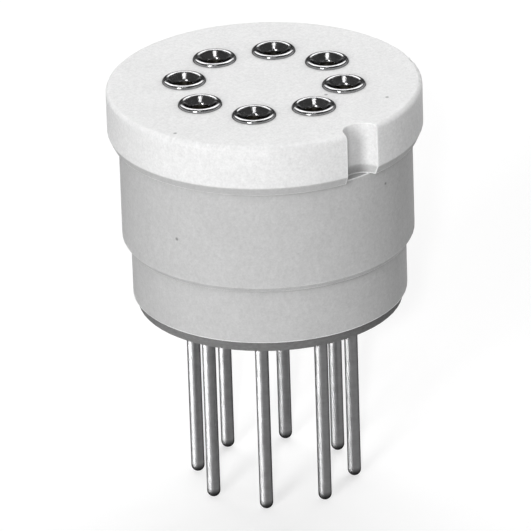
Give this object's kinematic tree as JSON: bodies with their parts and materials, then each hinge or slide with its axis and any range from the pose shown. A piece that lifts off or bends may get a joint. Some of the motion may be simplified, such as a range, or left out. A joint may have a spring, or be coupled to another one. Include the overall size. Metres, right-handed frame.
{
  "type": "round component socket",
  "caption": "Round press-in socket with a notched flange, spring contacts on a circle for a component's leads, and solder tails below.",
  "frame": {"origin": "on the socket's axis, in the plane of the flange's underside where it rests on the panel", "axes": "+Z along the axis, out of the lead entries; -Y towards the index notch, with contact 8 behind it and contact 1 next anticlockwise seen from above"},
  "size_m": [0.01, 0.01, 0.0138],
  "materials": {
    "insulator": "natural white fluoroplastic, as machined, faintly frosted",
    "wafer": "dull dark grey",
    "contact_plate": "bright nickel plate over turned brass",
    "clip_plate": "spring bronze, thin bright plate"
  },
  "bodies": {
    "root": {"insulator_body": "insulator", "base_wafer": "wafer", "contact_sleeve_1": "contact_plate", "contact_sleeve_2": "contact_plate", "contact_sleeve_3": "contact_plate", "contact_sleeve_4": "contact_plate", "contact_sleeve_5": "contact_plate", "contact_sleeve_6": "contact_plate", "contact_sleeve_7": "contact_plate", "contact_sleeve_8": "contact_plate", "contact_clip_1": "clip_plate", "contact_clip_2": "clip_plate", "contact_clip_3": "clip_plate", "contact_clip_4": "clip_plate", "contact_clip_5": "clip_plate", "contact_clip_6": "clip_plate", "contact_clip_7": "clip_plate", "contact_clip_8": "clip_plate"}
  },
  "joints": []
}
